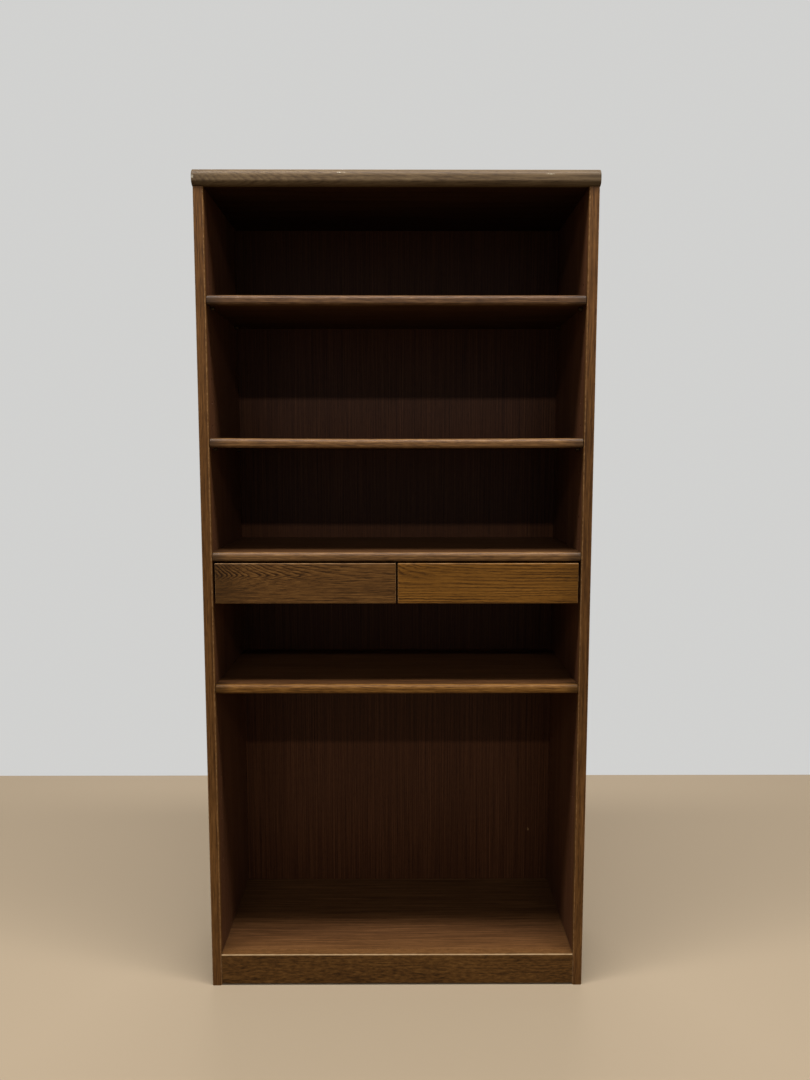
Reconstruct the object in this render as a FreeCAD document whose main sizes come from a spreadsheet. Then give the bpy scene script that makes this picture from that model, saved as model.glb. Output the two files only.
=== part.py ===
import FreeCAD, Part
import math
import operator
import os
import Sketcher

# An open bookcase of stained oak: two sides, a thick bullnosed top, a base shelf level with its
# plinth, one fixed shelf with two handleless drawers hung under it, and three loose shelves on pins.
# Millimetres. +X is to the right of the viewer, -Y is the front and +Z is up. The origin lies on the
# floor under the middle of the whole bookcase.

SIZES = {
    # The case, measured over the side panels.
    "case_width": 848,
    "case_height": 1803,
    "case_depth": 344,
    "side_thickness": 22,
    "edging_depth": 10,
    "edging_round": 4,
    "housing_depth": 6,
    # The top and the loose tongues that hold it to the sides.
    "top_thickness": 36,
    "top_front_overhang": 6,
    "top_side_overhang": 1,
    "top_nosing_depth": 30,
    "top_upper_round": 17,
    "top_lower_round": 12,
    "spline_thickness": 6,
    "spline_height": 16,
    "spline_inset": 40,
    # The shelves, fixed and loose.
    "shelf_thickness": 20,
    "shelf_setback": 2,
    "shelf_nosing_depth": 22,
    "shelf_upper_round": 9,
    "shelf_lower_round": 5,
    "shelf_end_gap": 1,
    "shelf_back_gap": 2,
    "drawer_shelf_height": 981,
    # The base and what stiffens it.
    "base_height": 74,
    "base_thickness": 20,
    "plinth_thickness": 22,
    "plinth_setback": 1,
    "plinth_floor_gap": 4,
    "plinth_round": 3,
    "rail_thickness": 18,
    "glue_block_side": 28,
    "glue_block_height": 45,
    # The back sheet, its rebate and its nails.
    "rebate_depth": 6,
    "rebate_width": 10,
    "back_thickness": 5,
    "back_edge_gap": 1,
    "nail_radius": 0.9,
    "nail_length": 22,
    "nail_head_radius": 1.8,
    "nail_head_height": 0.8,
    "nail_clearance": 0.15,
    "nail_facet_count": 8,
    "side_nail_count": 4,
    "nail_end_inset": 120,
    "nail_spacing": 300,
    # The rows of shelf-pin holes and the pins. A shelf's share says how far up its row it sits.
    "pin_pitch": 50,
    "lower_row_start": 159,
    "lower_row_end": 200,
    "upper_row_start": 24,
    "upper_row_end": 180,
    "lower_shelf_share": 1,
    "middle_shelf_share": 0.36,
    "upper_shelf_share": 0.9,
    "pin_front_inset": 40,
    "pin_rear_inset": 40,
    "pin_radius": 2.5,
    "pin_clearance": 0.2,
    "pin_hole_facet_count": 12,
    "pin_spigot_length": 10,
    "pin_head_radius": 4,
    "pin_head_length": 9,
    "pin_flat_height": 3,
    # The drawer fronts.
    "drawer_end_gap": 5,
    "drawer_middle_gap": 4,
    "drawer_top_gap": 4,
    "drawer_front_height": 89,
    "drawer_front_thickness": 18,
    "drawer_front_round": 2.5,
    "finger_cove_radius": 8,
    # The drawer boxes.
    "drawer_pull_lip": 12,
    "drawer_box_height": 68,
    "drawer_side_thickness": 12,
    "drawer_tongue": 6,
    "drawer_back_thickness": 12,
    "drawer_back_inset": 10,
    "drawer_back_drop": 4,
    "drawer_back_housing": 4,
    "drawer_bottom_thickness": 4,
    "drawer_bottom_rise": 6,
    "drawer_bottom_groove": 5,
    "drawer_bottom_gap": 0.5,
    "drawer_stop_gap": 0.5,
    # The drawers' runners and the divider that carries the inner ones.
    "divider_thickness": 12,
    "divider_height": 72,
    "divider_tongue": 5,
    "runner_gap": 7,
    "runner_reach": 5,
    "runner_housing": 3,
    "runner_height": 12,
    "runner_rise": 34,
    "runner_clearance": 0.3,
    "runner_front_gap": 4,
    "runner_ease": 2,
    # How far a cutting tool runs past a face, and how near counts as touching.
    "overrun": 5,
    "touch": 0.001,
}

doc = FreeCAD.newDocument("bookcase")
sheet = doc.addObject("Spreadsheet::Sheet", "sizes")
for row, (alias, number) in enumerate(SIZES.items(), 1):
    sheet.set(f"A{row}", alias)
    sheet.set(f"B{row}", str(number))
    sheet.setAlias(f"B{row}", alias)
doc.recompute()

pieces = []


class Rule:
    """A size worked out from the sheet: its expression for the document and its present value."""

    def __init__(self, text, value):
        self.text = text
        self.value = value

    def __add__(self, other):
        return join(self, "+", other)

    def __sub__(self, other):
        return join(self, "-", other)

    def __mul__(self, other):
        return join(self, "*", other)

    def __truediv__(self, other):
        return join(self, "/", other)

    def __neg__(self):
        return join(ZERO, "-", self)

    def whole(self):
        """The nearest whole number."""
        return Rule(f"floor({self.text} + 1 / 2)", math.floor(self.value + 1 / 2))

    def floor(self):
        """The whole number just below."""
        return Rule(f"floor({self.text})", math.floor(self.value))


SIGNS = {"+": operator.add, "-": operator.sub, "*": operator.mul, "/": operator.truediv}
ZERO = Rule("0", 0)


def as_rule(size):
    """A plain count or zero as a rule."""
    return size if isinstance(size, Rule) else Rule(str(size), size)


def join(left, sign, right):
    """The rule left sign right."""
    left, right = as_rule(left), as_rule(right)
    return Rule(f"({left.text} {sign} {right.text})", SIGNS[sign](left.value, right.value))


def size(alias):
    """The rule that reads one named size from the sheet."""
    return Rule(f"sizes.{alias}", sheet.get(alias))


def tie(thing, prop, rule):
    """Binds a property of a document object to a rule."""
    thing.setExpression(prop, as_rule(rule).text)


def put(thing, place):
    """Ties an object's place to three rules."""
    for axis, rule in zip("xyz", place):
        tie(thing, f"Placement.Base.{axis}", rule)


def keep(label, thing):
    """Marks an object as a finished sub-part under its own name."""
    thing.Label = label
    pieces.append(thing)
    return thing


# Places that several pieces share.
front = (size("top_front_overhang") - size("case_depth")) / 2
rear = (size("case_depth") + size("top_front_overhang")) / 2
back_face = rear - size("rebate_depth")
inner_half = size("case_width") / 2 - size("side_thickness")
inner_width = inner_half * 2
top_low = size("case_height") - size("top_thickness")
panel_front = front + size("edging_depth")
panel_depth = rear - panel_front
shelf_front = front + size("shelf_setback")
shelf_board_front = shelf_front + size("shelf_nosing_depth")
plinth_front = front + size("plinth_setback")
base_front = plinth_front + size("plinth_thickness")
base_low = size("base_height") - size("base_thickness")
rail_front = back_face - size("rail_thickness")
drawer_back_of_front = shelf_front + size("drawer_front_thickness")
drawer_low = size("drawer_shelf_height") - size("drawer_top_gap") - size("drawer_front_height")
box_low = drawer_low + size("drawer_pull_lip")
box_width = inner_half - size("divider_thickness") / 2 - size("runner_gap") * 2
runner_front = drawer_back_of_front + size("runner_front_gap")
runner_length = rail_front - runner_front
runner_low = box_low + size("runner_rise") + size("runner_clearance")
runner_width = size("runner_housing") + size("runner_gap") + size("runner_reach")


def block(name, place, sides):
    """A rectangular block from its lowest corner and its three sides."""
    box = doc.addObject("Part::Box", name)
    for prop, rule in zip(("Length", "Width", "Height"), sides):
        tie(box, prop, rule)
    put(box, place)
    return box


def rod(name, place, radius, length, axis):
    """A round rod that starts at a place and runs along an axis."""
    cylinder = doc.addObject("Part::Cylinder", name)
    cylinder.Placement.Rotation = FreeCAD.Rotation(FreeCAD.Vector(0, 0, 1), axis)
    tie(cylinder, "Radius", radius)
    tie(cylinder, "Height", length)
    put(cylinder, place)
    return cylinder


def group(name, members):
    """Several separate solids as one object."""
    compound = doc.addObject("Part::Compound", name)
    compound.Links = members
    return compound


def cut(name, base, tools):
    """A piece with tools taken out of it."""
    result = doc.addObject("Part::Cut", name)
    result.Base = base
    result.Tool = tools[0] if len(tools) == 1 else group(f"{name}_tools", tools)
    return result


def body_at(name, place):
    """An empty body at a place."""
    body = doc.addObject("PartDesign::Body", name)
    put(body, place)
    return body


def origin_part(body, role):
    """One of a body's own origin planes or axes."""
    return next(item for item in body.Origin.OriginFeatures if item.Role == role)


def sketch_on(body, role, lift=ZERO):
    """A new sketch on one of a body's own planes, lifted along the plane's normal."""
    sketch = body.newObject("Sketcher::SketchObject", f"{body.Name}_sketch")
    sketch.AttachmentSupport = [(origin_part(body, role), "")]
    sketch.MapMode = "FlatFace"
    tie(sketch, "AttachmentOffset.Base.z", lift)
    return sketch


def fix(sketch, shape, point, place):
    """Holds a point of a sketch at two rules from the sketch's origin."""
    for kind, line, rule in zip(("DistanceX", "DistanceY"), (-2, -1), map(as_rule, place)):
        if rule.text == "0":
            sketch.addConstraint(Sketcher.Constraint("PointOnObject", shape, point, line))
        else:
            held = sketch.addConstraint(Sketcher.Constraint(kind, -1, 1, shape, point, rule.value))
            tie(sketch, f"Constraints[{held}]", rule)


def outline(sketch, corners):
    """Draws a closed outline with straight sides through corners that rules place."""
    points = [FreeCAD.Vector(as_rule(x).value, as_rule(y).value, 0) for x, y in corners]
    sides = [Part.LineSegment(a, b) for a, b in zip(points, points[1:] + points[:1])]
    first = sketch.addGeometry(sides, False)[0]
    for step, corner in enumerate(corners):
        after = (step + 1) % len(corners)
        sketch.addConstraint(Sketcher.Constraint("Coincident", first + step, 2, first + after, 1))
        fix(sketch, first + step, 1, corner)


def rectangle(sketch, low, high):
    """Draws a rectangle between two opposite corners."""
    outline(sketch, [low, (high[0], low[1]), high, (low[0], high[1])])


def circle(sketch, centre, radius):
    """Draws a circle whose centre and radius are tied to rules."""
    middle = FreeCAD.Vector(as_rule(centre[0]).value, as_rule(centre[1]).value, 0)
    shape = sketch.addGeometry(Part.Circle(middle, FreeCAD.Vector(0, 0, 1), radius.value), False)
    held = sketch.addConstraint(Sketcher.Constraint("Radius", shape, radius.value))
    tie(sketch, f"Constraints[{held}]", radius)
    fix(sketch, shape, 3, centre)


def pad(body, sketch, length, flip=False):
    """Raises a sketch into a solid."""
    feature = body.newObject("PartDesign::Pad", f"{body.Name}_pad")
    feature.Profile = sketch
    feature.Reversed = flip
    tie(feature, "Length", length)
    doc.recompute()
    return feature


def pocket(body, sketch, depth, flip=False):
    """Cuts a sketch into its body, and stops the build if nothing was cut."""
    before = body.Shape.Volume
    feature = body.newObject("PartDesign::Pocket", f"{body.Name}_pocket")
    feature.Profile = sketch
    feature.Reversed = flip
    tie(feature, "Length", depth)
    doc.recompute()
    if not body.Shape.Volume < before:
        raise RuntimeError(f"{feature.Name} cuts nothing")
    return feature


def edges_at(feature, places):
    """Names of the edges that lie flat at each given place, such as {"y": rule, "z": rule}."""
    near = size("touch").value
    names = []
    for number, edge in enumerate(feature.Shape.Edges, 1):
        box = edge.BoundBox
        spans = {"x": (box.XMin, box.XMax), "y": (box.YMin, box.YMax), "z": (box.ZMin, box.ZMax)}
        if all(abs(end - as_rule(rule).value) < near for axis, rule in places.items() for end in spans[axis]):
            names.append(f"Edge{number}")
    return names


def soften(body, places, radius, kind="Fillet"):
    """Rounds, or with kind Chamfer bevels, the edges that lie at the given places."""
    base = body.Tip
    names = edges_at(base, places)
    feature = body.newObject(f"PartDesign::{kind}", f"{body.Name}_{kind.lower()}")
    feature.Base = (base, names)
    tie(feature, "Radius" if kind == "Fillet" else "Size", radius)
    doc.recompute()
    return feature


def moulding(name, place, length, depth, height):
    """A straight strip along X, drawn as its section seen from the end."""
    strip = body_at(name, place)
    section = sketch_on(strip, "YZ_Plane")
    rectangle(section, (0, 0), (depth, height))
    pad(strip, section, length)
    return strip


def nail_places():
    """Where the back sheet's nails go: a row up each side, three in the top and three in the base."""
    across = inner_half + size("rebate_width") / 2
    low = size("nail_end_inset")
    count = int(size("side_nail_count").value)
    climb = (top_low - low * 2) / (count - 1)
    heights = [low + climb * step for step in range(count)]
    spots = [size("nail_spacing") * step for step in (-1, 0, 1)]
    return {
        "left_side_panel": [(-across, height) for height in heights],
        "right_side_panel": [(across, height) for height in heights],
        "top_panel": [(x, top_low + size("rebate_width") / 2) for x in spots],
        "base_shelf": [(x, size("base_height") - size("base_thickness") / 2) for x in spots],
    }


FORWARD = FreeCAD.Vector(0, -1, 0)
sheet_rear = back_face + size("back_thickness")


def faceted_rod(name, place, radius, length, axis, facets):
    """A thin rod with a few flat sides that starts at a place and runs along an axis."""
    prism = doc.addObject("Part::Prism", name)
    prism.Placement.Rotation = FreeCAD.Rotation(FreeCAD.Vector(0, 0, 1), axis)
    tie(prism, "Polygon", facets)
    tie(prism, "Circumradius", radius)
    tie(prism, "Height", length)
    put(prism, place)
    return prism


def nail_rod(name, place, radius, length):
    """One thickness of a nail, or of its hole, running forward."""
    return faceted_rod(name, place, radius, length, FORWARD, size("nail_facet_count"))


def nail(name, x, z):
    """A flat-headed nail driven forward through the back sheet."""
    shank = nail_rod(f"{name}_shank", (x, sheet_rear, z), size("nail_radius"), size("nail_length"))
    start = sheet_rear + size("nail_head_height")
    head = nail_rod(f"{name}_head", (x, start, z), size("nail_head_radius"), size("nail_head_height"))
    whole = doc.addObject("Part::Fuse", name)
    whole.Base = head
    whole.Tool = shank
    return whole


def nail_hole(name, x, z):
    """The room that a nail's shank takes in the sheet and in what carries it."""
    run = size("overrun")
    gap = size("nail_clearance")
    length = size("nail_length") + gap + run
    return nail_rod(name, (x, sheet_rear + run, z), size("nail_radius") + gap, length)


nail_holes = {}
nails = []
for carrier, spots in nail_places().items():
    nail_holes[carrier] = []
    for step, (x, z) in enumerate(spots, 1):
        nails.append(nail(f"{carrier}_nail{step}", x, z))
        nail_holes[carrier].append(nail_hole(f"{carrier}_nail_hole{step}", x, z))
keep("back_panel_nails", group("back_panel_nails", nails))


# The two columns of pin holes in each side, and their rows: the lowest hole and how many pitches
# fit above it, below the drawers and above the fixed shelf.
PIN_COLUMNS = {
    "front": front + size("pin_front_inset"),
    "rear": back_face - size("pin_rear_inset"),
}
shelf_top = size("drawer_shelf_height") + size("shelf_thickness")
row_starts = {
    "lower": size("base_height") + size("lower_row_start"),
    "upper": shelf_top + size("upper_row_start"),
}
row_ends = {
    "lower": drawer_low - size("lower_row_end"),
    "upper": top_low - size("upper_row_end"),
}
row_steps = {row: ((row_ends[row] - row_starts[row]) / size("pin_pitch")).floor() for row in row_starts}


def pin_holes(hand):
    """The blind holes, one pitch apart, that a side's inner face has for shelf pins."""
    outward = -1 if hand == "left" else 1
    axis = FreeCAD.Vector(outward, 0, 0)
    run = size("overrun")
    mouth = (inner_half - run) * outward
    radius = size("pin_radius") + size("pin_clearance")
    depth = size("pin_spigot_length") + size("pin_clearance") + run
    holes = []
    for column, y in PIN_COLUMNS.items():
        for row, steps in row_steps.items():
            for step in range(steps.value + 1):
                place = (mouth, y, row_starts[row] + size("pin_pitch") * step)
                name = f"{hand}_{column}_{row}_hole{step}"
                holes.append(faceted_rod(name, place, radius, depth, axis, size("pin_hole_facet_count")))
    return holes


def side_panel(hand):
    """One side: a board with rebate, housings, runner housing, pin holes and the tongue's groove."""
    left = hand == "left"
    label = f"{hand}_side_panel"
    inner = size("side_thickness") if left else ZERO
    flip = not left
    x = -size("case_width") / 2 if left else inner_half
    body = body_at(f"{hand}_side_board", (x, panel_front, 0))
    face = sketch_on(body, "YZ_Plane")
    rectangle(face, (0, 0), (panel_depth, top_low))
    pad(body, face, size("side_thickness"))

    rebate = sketch_on(body, "YZ_Plane", inner)
    seat = panel_depth - size("rebate_depth")
    rectangle(rebate, (seat, 0), (panel_depth, top_low))
    pocket(body, rebate, size("rebate_width"), flip)

    housings = sketch_on(body, "YZ_Plane", inner)
    rectangle(housings, (base_front - panel_front, base_low), (seat, size("base_height")))
    shelf_low = size("drawer_shelf_height")
    shelf_start = (shelf_board_front - panel_front, shelf_low)
    rectangle(housings, shelf_start, (seat, shelf_low + size("shelf_thickness")))
    pocket(body, housings, size("housing_depth"), flip)

    channel = sketch_on(body, "YZ_Plane", inner)
    start = runner_front - panel_front
    rectangle(channel, (start, runner_low), (start + runner_length, runner_low + size("runner_height")))
    pocket(body, channel, size("runner_housing"), flip)

    groove = sketch_on(body, "XY_Plane", top_low)
    edge = (size("side_thickness") - size("spline_thickness")) / 2
    far = (edge + size("spline_thickness"), panel_depth - size("spline_inset"))
    rectangle(groove, (edge, size("spline_inset")), far)
    pocket(body, groove, size("spline_height") / 2)

    keep(label, cut(label, body, nail_holes[label] + pin_holes(hand)))


def side_edging(hand):
    """The solid lipping on a side's front edge, both arrises rounded."""
    x = -size("case_width") / 2 if hand == "left" else inner_half
    label = f"{hand}_side_edging"
    body = body_at(label, (x, front, 0))
    section = sketch_on(body, "XY_Plane")
    rectangle(section, (0, 0), (size("side_thickness"), size("edging_depth")))
    pad(body, section, top_low)
    soften(body, {"x": ZERO, "y": ZERO}, size("edging_round"))
    soften(body, {"x": size("side_thickness"), "y": ZERO}, size("edging_round"))
    keep(label, body)


def splines(name, reach):
    """The two loose tongues, or with a reach above the joint only, the room for them in the top."""
    low = top_low if reach == "above" else top_low - size("spline_height") / 2
    height = size("spline_height") / 2 if reach == "above" else size("spline_height")
    depth = panel_depth - size("spline_inset") * 2
    out = (size("case_width") - size("side_thickness") - size("spline_thickness")) / 2
    tongues = []
    for hand, x in (("left", -out - size("spline_thickness")), ("right", out)):
        corner = (x, panel_front + size("spline_inset"), low)
        tongues.append(block(f"{hand}_{name}", corner, (size("spline_thickness"), depth, height)))
    return tongues


def top():
    """The top board, rebated and grooved underneath, and its tall bullnosed front."""
    half = size("case_width") / 2 + size("top_side_overhang")
    nose_front = front - size("top_front_overhang")
    board_front = nose_front + size("top_nosing_depth")
    corner = (-half, board_front, top_low)
    board = block("top_board", corner, (half * 2, rear - board_front, size("top_thickness")))
    rebate_half = inner_half + size("rebate_width")
    run = size("overrun")
    seat = (-rebate_half, back_face, top_low - run)
    room = (rebate_half * 2, size("rebate_depth") + run, size("rebate_width") + run)
    rebate = block("top_rebate", seat, room)
    tools = [rebate, *splines("spline_room", "above"), *nail_holes["top_panel"]]
    keep("top_panel", cut("top_panel", board, tools))

    nosing = moulding("top_nosing", (-half, nose_front, top_low), half * 2,
                      size("top_nosing_depth"), size("top_thickness"))
    soften(nosing, {"y": ZERO, "z": size("top_thickness")}, size("top_upper_round"))
    soften(nosing, {"y": ZERO, "z": ZERO}, size("top_lower_round"))
    keep("top_nosing", nosing)
    keep("top_splines", group("top_splines", splines("spline", "both")))


def shelf_nosing(label, low, gap):
    """The solid rounded front of a shelf, clear of the sides by a gap at each end."""
    place = (gap - inner_half, shelf_front, low)
    thick = size("shelf_thickness")
    nosing = moulding(label, place, inner_width - gap * 2, size("shelf_nosing_depth"), thick)
    soften(nosing, {"y": ZERO, "z": thick}, size("shelf_upper_round"))
    soften(nosing, {"y": ZERO, "z": ZERO}, size("shelf_lower_round"))
    keep(label, nosing)


def drawer_shelf():
    """The fixed shelf, housed in the sides and grooved underneath for the drawer divider."""
    low = size("drawer_shelf_height")
    half = inner_half + size("housing_depth")
    corner = (-half, shelf_board_front, low)
    sides = (half * 2, back_face - shelf_board_front, size("shelf_thickness"))
    board = block("drawer_shelf_board", corner, sides)
    run = size("overrun")
    start = (-size("divider_thickness") / 2, runner_front, low - run)
    room = (size("divider_thickness"), runner_length, size("divider_tongue") + run)
    groove = block("divider_groove", start, room)
    keep("drawer_shelf_panel", cut("drawer_shelf_panel", board, [groove]))
    shelf_nosing("drawer_shelf_nosing", low, size("shelf_end_gap") / 2)


def shelf_pin(name, hand, y, z):
    """A metal pin: a spigot for the hole and a thicker head, filed flat on top to seat the shelf."""
    outward = -1 if hand == "left" else 1
    inner = inner_half * outward
    out = FreeCAD.Vector(outward, 0, 0)
    spigot = rod(f"{name}_spigot", (inner, y, z), size("pin_radius"), size("pin_spigot_length"), out)
    head = rod(f"{name}_head", (inner, y, z), size("pin_head_radius"), size("pin_head_length"), out * -1)
    whole = doc.addObject("Part::Fuse", f"{name}_round")
    whole.Base = head
    whole.Tool = spigot
    side = size("pin_head_radius") * 2
    start = inner - size("pin_head_length") if hand == "right" else inner
    waste = block(f"{name}_waste", (start, y - size("pin_head_radius"), z + size("pin_flat_height")),
                  (size("pin_head_length"), side, side))
    return cut(name, whole, [waste])


def loose_shelf(name, row):
    """A loose shelf, board and nosing, on four pins in the hole that its share of the row picks."""
    step = (row_steps[row] * size(f"{name}_shelf_share")).whole()
    axis = row_starts[row] + size("pin_pitch") * step
    low = axis + size("pin_flat_height")
    gap = size("shelf_end_gap")
    corner = (gap - inner_half, shelf_board_front, low)
    depth = back_face - size("shelf_back_gap") - shelf_board_front
    board = block(f"{name}_shelf_panel", corner, (inner_width - gap * 2, depth, size("shelf_thickness")))
    keep(f"{name}_shelf_panel", board)
    shelf_nosing(f"{name}_shelf_nosing", low, gap)
    pins = []
    for hand in ("left", "right"):
        for column, y in PIN_COLUMNS.items():
            pins.append(shelf_pin(f"{name}_{hand}_{column}_pin", hand, y, axis))
    keep(f"{name}_shelf_pins", group(f"{name}_shelf_pins", pins))


def base():
    """The base shelf, its plinth, the rear rail and the glue blocks in the four corners."""
    half = inner_half + size("housing_depth")
    corner = (-half, base_front, base_low)
    board = block("base_board", corner, (half * 2, back_face - base_front, size("base_thickness")))
    keep("base_shelf", cut("base_shelf", board, nail_holes["base_shelf"]))

    low = size("plinth_floor_gap")
    height = size("base_height") - low
    corner = (-inner_half, plinth_front, low)
    plinth = moulding("plinth_board", corner, inner_width, size("plinth_thickness"), height)
    soften(plinth, {"y": ZERO, "z": height}, size("plinth_round"))
    keep("plinth_board", plinth)

    sides = (inner_width, size("rail_thickness"), base_low - low)
    keep("base_rear_rail", block("base_rear_rail", (-inner_half, rail_front, low), sides))

    side = size("glue_block_side")
    blocks = []
    for end, y in (("front", base_front), ("rear", rail_front - side)):
        for hand, x in (("left", -inner_half), ("right", inner_half - side)):
            corner = (x, y, base_low - size("glue_block_height"))
            blocks.append(block(f"{hand}_{end}_glue_block", corner, (side, side, size("glue_block_height"))))
    keep("base_glue_blocks", group("base_glue_blocks", blocks))


def back():
    """One thin sheet in the rebates of the sides and the top, with the holes of its nails."""
    half = inner_half + size("rebate_width") - size("back_edge_gap")
    low = size("plinth_floor_gap")
    high = top_low + size("rebate_width") - size("back_edge_gap")
    board = block("back_sheet", (-half, back_face, low), (half * 2, size("back_thickness"), high - low))
    holes = [hole for carried in nail_holes.values() for hole in carried]
    keep("back_panel", cut("back_panel", board, holes))


def drawer_space():
    """The divider and rear rail under the fixed shelf, and the four runners that carry the drawers."""
    shelf_low = size("drawer_shelf_height")
    low = shelf_low - size("divider_height")
    half = size("divider_thickness") / 2
    sides = (size("divider_thickness"), runner_length, size("divider_height") + size("divider_tongue"))
    board = block("divider_board", (-half, runner_front, low), sides)
    run = size("overrun")
    channel = (size("runner_housing") + run, runner_length + run * 2, size("runner_height"))
    cuts = []
    for hand, x in (("left", -half - run), ("right", half - size("runner_housing"))):
        cuts.append(block(f"{hand}_divider_channel", (x, runner_front - run, runner_low), channel))
    keep("drawer_divider", cut("drawer_divider", board, cuts))

    rail = (inner_width, size("rail_thickness"), size("divider_height"))
    keep("drawer_rear_rail", block("drawer_rear_rail", (-inner_half, rail_front, low), rail))

    outer = inner_half + size("runner_housing")
    inner = half - size("runner_housing")
    starts = {
        "left_outer_runner": -outer,
        "left_inner_runner": -inner - runner_width,
        "right_inner_runner": inner,
        "right_outer_runner": outer - runner_width,
    }
    high = size("runner_height")
    for label, x in starts.items():
        runner = moulding(label, (x, runner_front, runner_low), runner_width, runner_length, high)
        soften(runner, {"y": ZERO, "z": high}, size("runner_ease"), "Chamfer")
        soften(runner, {"y": ZERO, "z": ZERO}, size("runner_ease"), "Chamfer")
        keep(label, runner)


def drawer_front(hand, box_left):
    """A solid front: arrises rounded, a finger cove behind the lower edge, housings for the box."""
    width = (inner_width - size("drawer_end_gap") * 2 - size("drawer_middle_gap")) / 2
    x = size("drawer_end_gap") - inner_half if hand == "left" else size("drawer_middle_gap") / 2
    label = f"{hand}_drawer_front"
    thick = size("drawer_front_thickness")
    body = moulding(label, (x, shelf_front, drawer_low), width, thick, size("drawer_front_height"))
    soften(body, {"y": ZERO}, size("drawer_front_round"))

    cove = sketch_on(body, "YZ_Plane")
    circle(cove, (thick, ZERO), size("finger_cove_radius"))
    pocket(body, cove, width, True)

    start = box_left - x
    side = size("drawer_side_thickness")
    low = size("drawer_pull_lip")
    high = low + size("drawer_box_height")
    housings = sketch_on(body, "XZ_Plane", -thick)
    rectangle(housings, (start, low), (start + side, high))
    rectangle(housings, (start + box_width - side, low), (start + box_width, high))
    pocket(body, housings, size("drawer_tongue"), True)

    groove = sketch_on(body, "XZ_Plane", -thick)
    bottom = low + size("drawer_bottom_rise")
    corner = (start + box_width - side, bottom + size("drawer_bottom_thickness"))
    rectangle(groove, (start + side, bottom), corner)
    pocket(body, groove, size("drawer_bottom_groove"), True)
    keep(label, body)


def drawer_side(hand, edge, x, y, length):
    """A drawer side: runner groove outside, bottom groove and the back's housing inside."""
    left = edge == "left"
    label = f"{hand}_drawer_{edge}_side"
    thick = size("drawer_side_thickness")
    high = size("drawer_box_height")
    rise = size("drawer_bottom_rise")
    bottom_top = rise + size("drawer_bottom_thickness")
    inside = thick - size("drawer_bottom_groove")
    slot_low = size("runner_rise")
    slot_high = slot_low + size("runner_height") + size("runner_clearance") * 2
    slot_in = size("runner_reach") + size("runner_clearance")
    section = [
        (ZERO, ZERO), (thick, ZERO),
        (thick, rise), (inside, rise), (inside, bottom_top), (thick, bottom_top),
        (thick, high), (ZERO, high),
        (ZERO, slot_high), (slot_in, slot_high), (slot_in, slot_low), (ZERO, slot_low),
    ]
    if not left:
        section = [(ZERO if depth is thick else thick - depth, height) for depth, height in section]
    body = body_at(label, (x, y, box_low))
    drawn = sketch_on(body, "XZ_Plane")
    outline(drawn, section)
    pad(body, drawn, length, True)

    housing = sketch_on(body, "YZ_Plane", thick if left else ZERO)
    end = length - size("drawer_back_inset")
    rectangle(housing, (end - size("drawer_back_thickness"), bottom_top), (end, high))
    pocket(body, housing, size("drawer_back_housing"), not left)
    keep(label, body)


def drawer(hand):
    """A drawer: front, two grooved sides, a back that stands on the bottom, and the bottom."""
    middle = size("divider_thickness") / 2 + size("runner_gap")
    box_left = size("runner_gap") - inner_half if hand == "left" else middle
    drawer_front(hand, box_left)

    side = size("drawer_side_thickness")
    y = drawer_back_of_front - size("drawer_tongue")
    length = rail_front - size("drawer_stop_gap") - y
    drawer_side(hand, "left", box_left, y, length)
    drawer_side(hand, "right", box_left + box_width - side, y, length)

    bottom_low = box_low + size("drawer_bottom_rise")
    bottom_top = bottom_low + size("drawer_bottom_thickness")
    inset = side - size("drawer_back_housing")
    back_y = y + length - size("drawer_back_inset") - size("drawer_back_thickness")
    back_high = box_low + size("drawer_box_height") - size("drawer_back_drop")
    sides = (box_width - inset * 2, size("drawer_back_thickness"), back_high - bottom_top)
    label = f"{hand}_drawer_back"
    keep(label, block(label, (box_left + inset, back_y, bottom_top), sides))

    inset = side - size("drawer_bottom_groove") + size("drawer_bottom_gap")
    start = drawer_back_of_front - size("drawer_bottom_groove") + size("drawer_bottom_gap")
    sides = (box_width - inset * 2, y + length - start, size("drawer_bottom_thickness"))
    label = f"{hand}_drawer_bottom"
    keep(label, block(label, (box_left + inset, start, bottom_low), sides))


for hand in ("left", "right"):
    side_panel(hand)
    side_edging(hand)
top()
drawer_shelf()
loose_shelf("upper", "upper")
loose_shelf("middle", "upper")
loose_shelf("lower", "lower")
base()
back()
drawer_space()
for hand in ("left", "right"):
    drawer(hand)
doc.recompute()

for thing in doc.Objects:
    if "Invalid" in thing.State or "Error" in thing.State:
        raise RuntimeError(f"{thing.Name} failed: {thing.State}")
for piece in pieces:
    if piece.Shape.isNull() or not piece.Shape.isValid():
        raise RuntimeError(f"{piece.Label} has no sound shape")

os.makedirs("parts", exist_ok=True)
for piece in pieces:
    piece.Shape.exportStep(f"parts/{piece.Label}.step")
print(f"{len(pieces)} sub-parts")
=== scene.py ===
import math

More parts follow.
